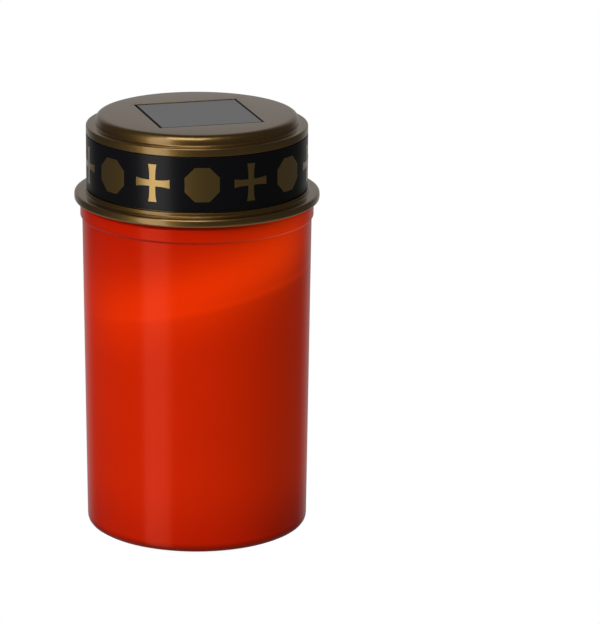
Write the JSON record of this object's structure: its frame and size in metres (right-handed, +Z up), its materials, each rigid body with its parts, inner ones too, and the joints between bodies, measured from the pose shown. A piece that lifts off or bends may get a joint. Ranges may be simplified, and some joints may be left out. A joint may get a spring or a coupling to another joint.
{
  "type": "solar flameless led candle",
  "caption": "Solar grave candle: a glossy red cup under a gold lid that holds a solar cell, battery and LED, standing on a black ground spike.",
  "frame": {"origin": "the candle's axis at the ground line, in the plane of the cup's foot ring", "axes": "+Z up along the candle's axis, X along the battery and one side of the solar cell, -Y towards the switch"},
  "size_m": [0.0754, 0.0754, 0.2484],
  "materials": {
    "red_cup": "translucent red gloss",
    "gold_lacquer": "metallic old gold lacquer on plastic",
    "band_print": "black print with gold motifs",
    "solar_film": "laminated film over an amorphous cell",
    "black_plastic": "moulded black plastic",
    "bare_steel": "nickel-plated steel",
    "white_foam": "sticky foam",
    "green_board": "solder mask on glass fibre",
    "warm_lens": "tinted clear epoxy",
    "copper_coil": "enamelled copper on a ferrite core",
    "green_sleeve": "shrink sleeve on a steel can",
    "white_plastic": "moulded white plastic",
    "red_wire": "soft insulation",
    "black_wire": "soft insulation"
  },
  "bodies": {
    "spike": {"spike": "black_plastic"},
    "cup": {"cup": "red_cup"},
    "lid": {"lid_shell": "gold_lacquer", "printed_band": "band_print", "solar_cell": "solar_film", "cell_pad": "white_foam", "module_base": "black_plastic", "plate_screw_1": "bare_steel", "plate_screw_2": "bare_steel", "plate_screw_3": "bare_steel", "battery": "green_sleeve", "contact_plus": "bare_steel", "contact_minus": "bare_steel", "battery_spring": "bare_steel", "circuit_board": "green_board", "board_screw_1": "bare_steel", "board_screw_2": "bare_steel", "led": "warm_lens", "inductor": "copper_coil", "driver_chip": "black_plastic", "switch_body": "bare_steel", "cell_wire_red": "red_wire", "cell_wire_black": "black_wire", "battery_wire_red": "red_wire", "battery_wire_black": "black_wire"},
    "switch": {"switch_knob": "white_plastic"},
    "door": {"battery_door": "black_plastic"}
  },
  "joints": [
    {"name": "candle_lift", "type": "slide", "parent": "spike", "child": "cup", "axis": [0, 0, 1], "range_m": [0, 0.04]},
    {"name": "lid_lift", "type": "slide", "parent": "cup", "child": "lid", "axis": [0, 0, 1], "range_m": [0, 0.045]},
    {"name": "switch_slide", "type": "slide", "parent": "lid", "child": "switch", "axis": [1, 0, 0], "range_m": [0, 0.002]},
    {"name": "door_hinge", "type": "hinge", "parent": "lid", "child": "door", "pos_m": [0.02535, 0.007, 0.1121], "axis": [0, -1, 0], "range_deg": [0, 60]}
  ]
}
